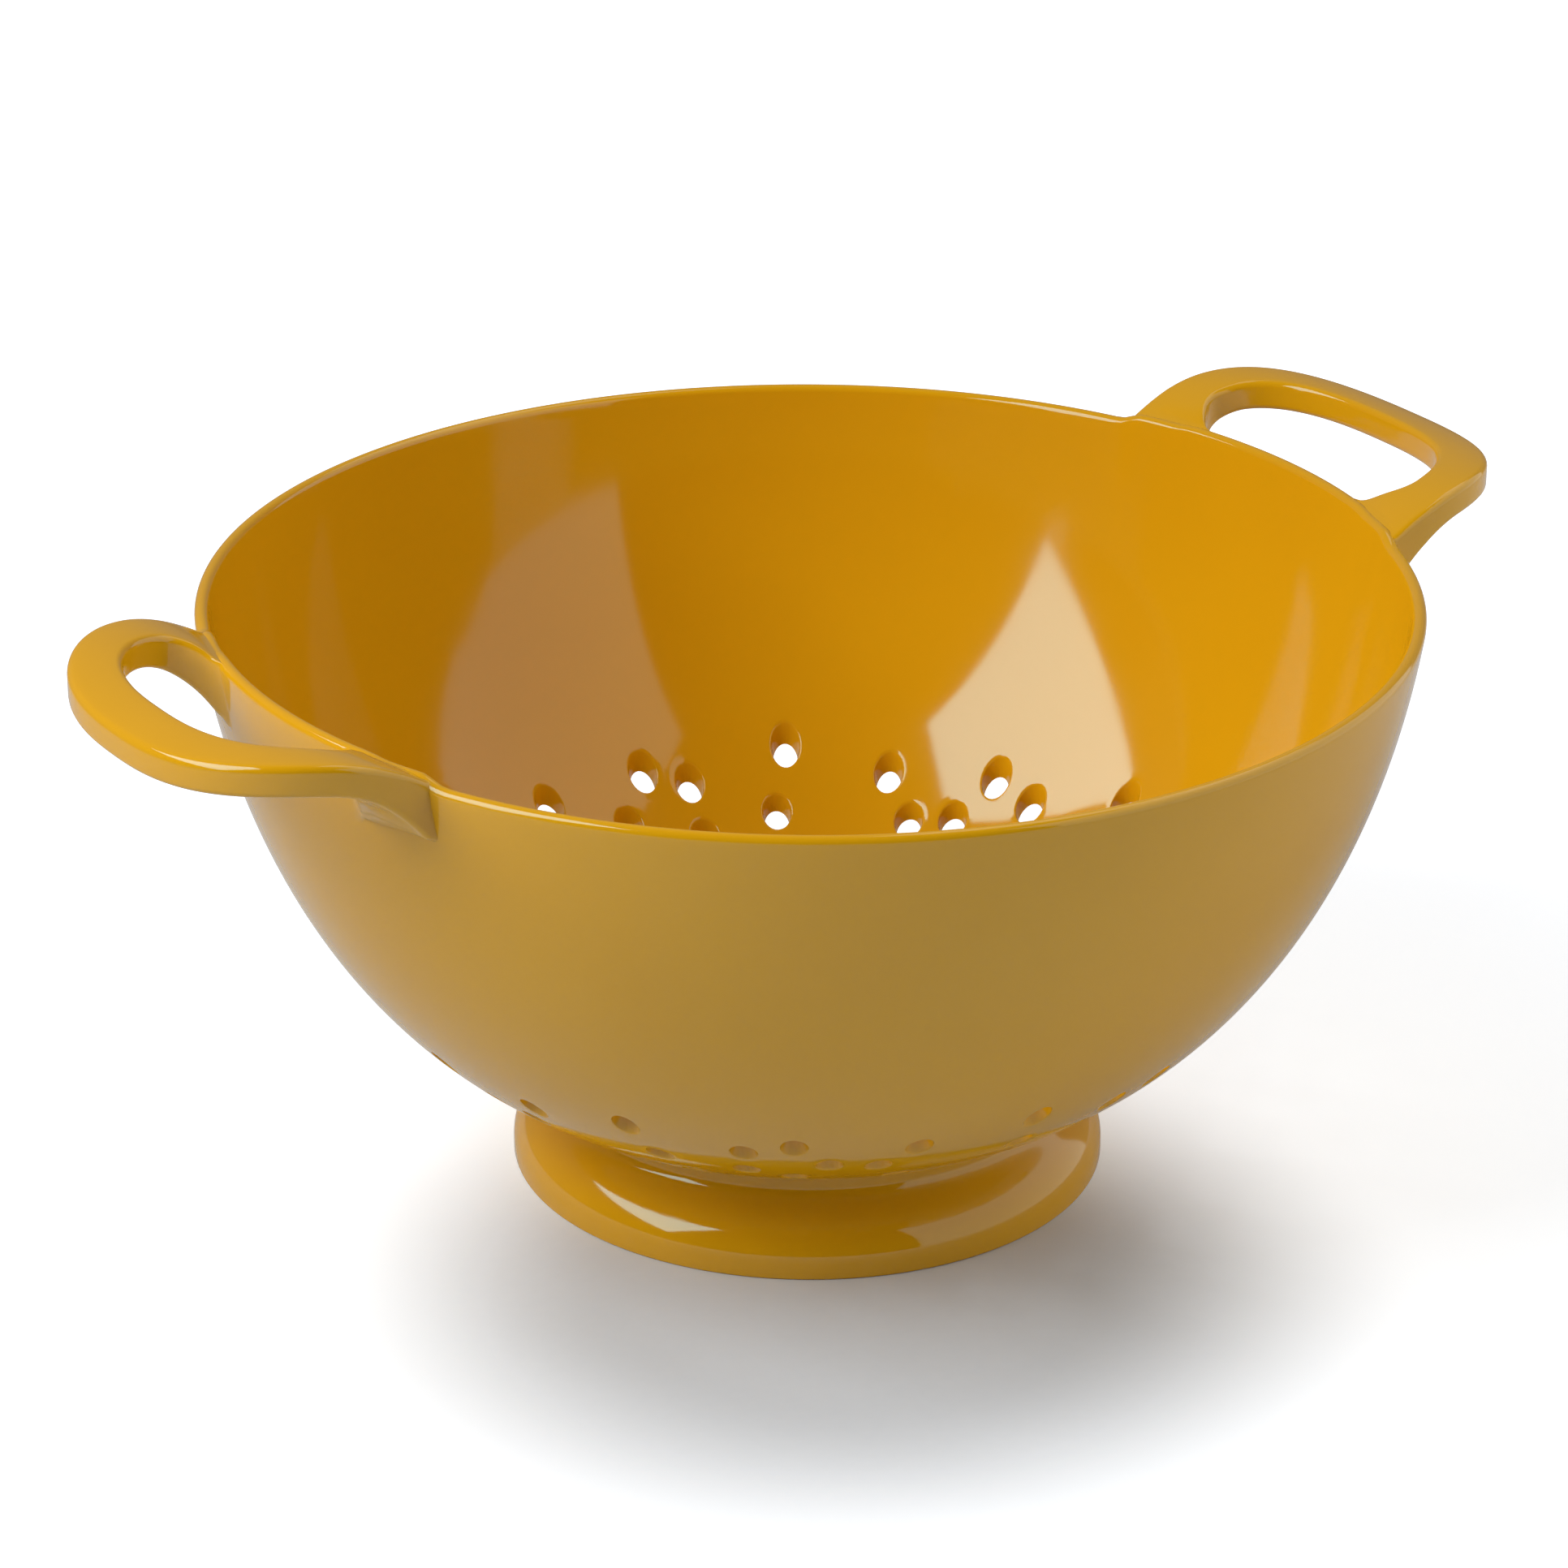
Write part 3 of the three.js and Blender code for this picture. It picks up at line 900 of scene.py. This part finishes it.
@dataclass
class FootRing:
    """Flared ring under the bowl, with a groove for the bond in its seat."""

    bowl: BowlSection = field(default_factory=BowlSection)
    radius: float = 59.8
    band: float = 2.6
    edge: float = 0.5
    neck_radius: float = 51.0
    neck_height: float = 2.2
    shoulder_pull: float = 8.0
    fillet_pull: float = 4.0
    wall: float = 3.4
    seat_gap: float = 0.05
    bond_gap: float = 0.3
    bond_width: float = 1.4
    bond_height: float = 1.2
    segments: int = 288
    flank_steps: int = 40
    edge_steps: int = 4
    crease: float = 40.0

    def seat(self, radius: float, gap: float) -> np.ndarray:
        """Point of the seat under the bowl, at a distance from the axis and a gap below it."""
        return np.array([radius, float(self.bowl.height(0.0, np.array(radius))) - gap])

    def profile(self) -> np.ndarray:
        """Closed section of the ring, from its resting face up the outside and down the inside."""
        waist = self.seat(self.neck_radius, self.bond_gap)[1] - self.neck_height
        flank = np.array([
            [self.radius, self.band],
            [self.radius, self.band + self.shoulder_pull],
            [self.neck_radius, waist - self.fillet_pull],
            [self.neck_radius, waist],
        ])
        place, run = bezier(flank, np.linspace(0.0, 1.0, self.flank_steps + 1))
        inside = place + self.wall * np.stack([-run[:, 1], run[:, 0]], axis=1)
        bond = self.neck_radius - self.wall / 2
        groove = self.bond_width / 2 + self.bond_gap
        floor = self.seat(bond - groove, self.bond_gap)[1] - self.bond_height - self.bond_gap
        inner_foot = self.radius - self.wall
        return np.vstack([
            arc((inner_foot + self.edge, self.edge), self.edge, 180.0, 270.0, self.edge_steps),
            arc((self.radius - self.edge, self.edge), self.edge, 270.0, 360.0, self.edge_steps),
            place,
            [self.seat(self.neck_radius, self.seat_gap), self.seat(bond + groove, self.seat_gap)],
            [(bond + groove, floor), (bond - groove, floor)],
            [self.seat(bond - groove, self.seat_gap)],
            [self.seat(self.neck_radius - self.wall, self.seat_gap)],
            inside[::-1],
        ])

    def build(self) -> bpy.types.Object:
        """Turn the section into the ring."""
        profile = self.profile()
        points = lathe(profile, self.segments)
        rows = [k * self.segments + np.arange(self.segments) for k in range(len(profile))]
        faces: list[tuple[int, ...]] = []
        for lower, upper in zip(rows, rows[1:] + rows[:1]):
            faces += ring_faces(lower, upper)
        ring = make_mesh("foot_moulding", points, faces)
        ring.data.set_sharp_from_angle(angle=math.radians(self.crease))
        return ring

    def dress(self, piece: bpy.types.Object, material: bpy.types.Material) -> None:
        """Give the ring its finish and its place in the frame.

        Args:
            piece: the mesh object.
            material: its finish.
        """
        piece.data.materials.append(material)
        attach(piece, ROOT)
        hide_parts("foot_ring")


@dataclass
class FootBond:
    """Bead of adhesive in the foot's groove, kept as its CAD solid."""

    node: str = "foot_bond"

    def dress(self, material: bpy.types.Material) -> bpy.types.Object:
        """Give the CAD solid its finish and return it."""
        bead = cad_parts[self.node]
        bead.data.materials.clear()
        bead.data.materials.append(material)
        return bead


def from_photo(vector: tuple[float, float, float]) -> Vector:
    """Turn a direction or place seen by the camera, right, away and up, into the part's frame."""
    return Matrix.Rotation(math.radians(-HANDLE_AZIMUTH), 3, "Z") @ Vector(vector)


def placed(right: Vector, up: Vector, place: Vector) -> Matrix:
    """Matrix of a camera or lamp that looks along its own -Z.

    Args:
        right: direction of its X axis.
        up: direction of its Y axis.
        place: where it stands, in millimetres.

    Returns:
        Its world matrix.
    """
    turned = Matrix((right, up, right.cross(up))).transposed().to_4x4()
    return Matrix.Translation(place * MM) @ turned


@dataclass(frozen=True)
class PhotoCamera:
    """Camera solved from the photograph's rim, foot and handles."""

    lens: float = 127.8
    sensor: float = 36.0
    elevation: float = 23.612
    roll: float = 0.224
    place: tuple[float, float, float] = (-5.02, -1013.04, 522.07)
    reach: float = 20000.0

    def build(self) -> bpy.types.Object:
        """Make the camera and set it as the scene's own."""
        data = bpy.data.cameras.new("photo_camera")
        data.sensor_width = self.sensor
        data.lens = self.lens
        data.clip_end = self.reach * MM
        camera = bpy.data.objects.new("photo_camera", data)
        bpy.context.scene.collection.objects.link(camera)
        tilt, roll = math.radians(self.elevation), math.radians(self.roll)
        right, up = Vector((1.0, 0.0, 0.0)), Vector((0.0, math.sin(tilt), math.cos(tilt)))
        rolled_right = math.cos(roll) * right + math.sin(roll) * up
        rolled_up = math.cos(roll) * up - math.sin(roll) * right
        camera.matrix_world = placed(
            from_photo(rolled_right), from_photo(rolled_up), from_photo(self.place))
        bpy.context.scene.camera = camera
        return camera


@dataclass(frozen=True)
class Softbox:
    """Rectangular lamp panel, as the reflections in the bowl show it."""

    name: str
    centre: tuple[float, float, float]
    across: tuple[float, float, float]
    upward: tuple[float, float, float]
    width: float
    height: float
    radiance: float

    def build(self) -> bpy.types.Object:
        """Make the lamp, with the power that gives its face the radiance."""
        data = bpy.data.lights.new(self.name, "AREA")
        data.shape = "RECTANGLE"
        data.size, data.size_y = self.width * MM, self.height * MM
        data.energy = LAMP_POWER * self.radiance * data.size * data.size_y
        lamp = bpy.data.objects.new(self.name, data)
        bpy.context.scene.collection.objects.link(lamp)
        lamp.matrix_world = placed(
            from_photo(self.across), from_photo(self.upward), from_photo(self.centre))
        return lamp


@dataclass(frozen=True)
class Studio:
    """Paper floor, lamps and the dim room round them."""

    floor_size: float = 60000.0
    room_front: str = "#0a0a0a"
    room_back: str = "#7e7e7e"
    room_shown: str = "#ffffff"
    room_dark_end: float = -0.4
    room_pale_end: float = 0.8
    lean: float = 20.5
    key_centre: tuple[float, float, float] = (-700.0, -386.0, 926.0)
    key_width: float = 740.0
    key_height: float = 1150.0
    key_radiance: float = 4.6
    fill_centre: tuple[float, float, float] = (700.0, -105.0, 650.0)
    fill_width: float = 1390.0
    fill_height: float = 1300.0
    fill_radiance: float = 0.77
    top_centre: tuple[float, float, float] = (450.0, 560.0, 1250.0)
    top_width: float = 700.0
    top_depth: float = 800.0
    top_radiance: float = 0.82

    def floor(self, finish: PaperFinish) -> bpy.types.Object:
        """Lay the paper on which the colander stands.

        Args:
            finish: finish of the paper.

        Returns:
            The floor.
        """
        half = self.floor_size / 2
        corners = np.array([
            (-half, -half, 0.0), (half, -half, 0.0), (half, half, 0.0), (-half, half, 0.0)])
        floor = make_mesh("paper_floor", corners, [(0, 1, 2, 3)])
        floor.data.materials.append(finish.material())
        return floor

    def lamps(self) -> list[bpy.types.Object]:
        """Set up a softbox on the left, a panel on the right and a softbox over the back."""
        lean = math.radians(self.lean)
        across = (0.0, math.cos(lean), math.sin(lean))
        down = (0.0, math.sin(lean), -math.cos(lean))
        key = Softbox(
            "key_softbox", self.key_centre, across, down,
            self.key_width, self.key_height, self.key_radiance)
        fill = Softbox(
            "white_panel", self.fill_centre, (0.0, 1.0, 0.0), (0.0, 0.0, 1.0),
            self.fill_width, self.fill_height, self.fill_radiance)
        tilt = math.atan2(self.top_centre[1], self.top_centre[2])
        top = Softbox(
            "back_softbox", self.top_centre,
            (1.0, 0.0, 0.0), (0.0, math.cos(tilt), -math.sin(tilt)),
            self.top_width, self.top_depth, self.top_radiance)
        return [key.build(), fill.build(), top.build()]

    def room(self) -> None:
        """Light the room dimly, darker on the camera's side, and show it white behind the paper."""
        scene = bpy.context.scene
        world = scene.world or bpy.data.worlds.new("room")
        scene.world = world
        world.use_nodes = True
        tree = world.node_tree
        tree.nodes.clear()
        direction = add_node(tree, "ShaderNodeTexCoord").outputs["Generated"]
        away = add_node(tree, "ShaderNodeVectorMath", {"operation": "DOT_PRODUCT"}, {
            0: direction, 1: from_photo((0.0, 1.0, 0.0))})
        share = add_node(tree, "ShaderNodeMapRange", {"interpolation_type": "SMOOTHSTEP"}, {
            "Value": away.outputs["Value"], "From Min": self.room_dark_end,
            "From Max": self.room_pale_end})
        colour = add_node(tree, "ShaderNodeMix", {"data_type": "RGBA"}, {
            0: share.outputs["Result"], 6: linear(self.room_front), 7: linear(self.room_back)})
        rays = add_node(tree, "ShaderNodeLightPath").outputs
        seen = add_node(tree, "ShaderNodeMath", {"operation": "MAXIMUM"}, {
            0: rays["Is Camera Ray"], 1: rays["Is Transmission Ray"]})
        shown = add_node(tree, "ShaderNodeMix", {"data_type": "RGBA"}, {
            0: seen.outputs[0], 6: colour.outputs[2], 7: linear(self.room_shown)})
        back = add_node(tree, "ShaderNodeBackground", inputs={"Color": shown.outputs[2]})
        add_node(tree, "ShaderNodeOutputWorld", inputs={"Surface": back.outputs["Background"]})


def main() -> None:
    """Build the camera, the colander's pieces and the studio in order."""
    logging.basicConfig(level=logging.INFO, format="%(name)s: %(message)s")
    bpy.context.scene.view_settings.view_transform = "Standard"
    PhotoCamera().build()
    melamine = MelamineFinish().material()
    bowl = BowlMoulding()
    moulding = bowl.build()
    bowl.dress(moulding, melamine)
    LOG.info("bowl with handles: %d faces", len(moulding.data.polygons))
    foot = FootRing()
    ring = foot.build()
    foot.dress(ring, melamine)
    LOG.info("foot ring: %d faces", len(ring.data.polygons))
    bead = FootBond().dress(AdhesiveFinish().material())
    LOG.info("bond: %d faces", len(bead.data.polygons))
    studio = Studio()
    studio.floor(PaperFinish())
    studio.lamps()
    studio.room()


if __name__ == "__main__":
    main()
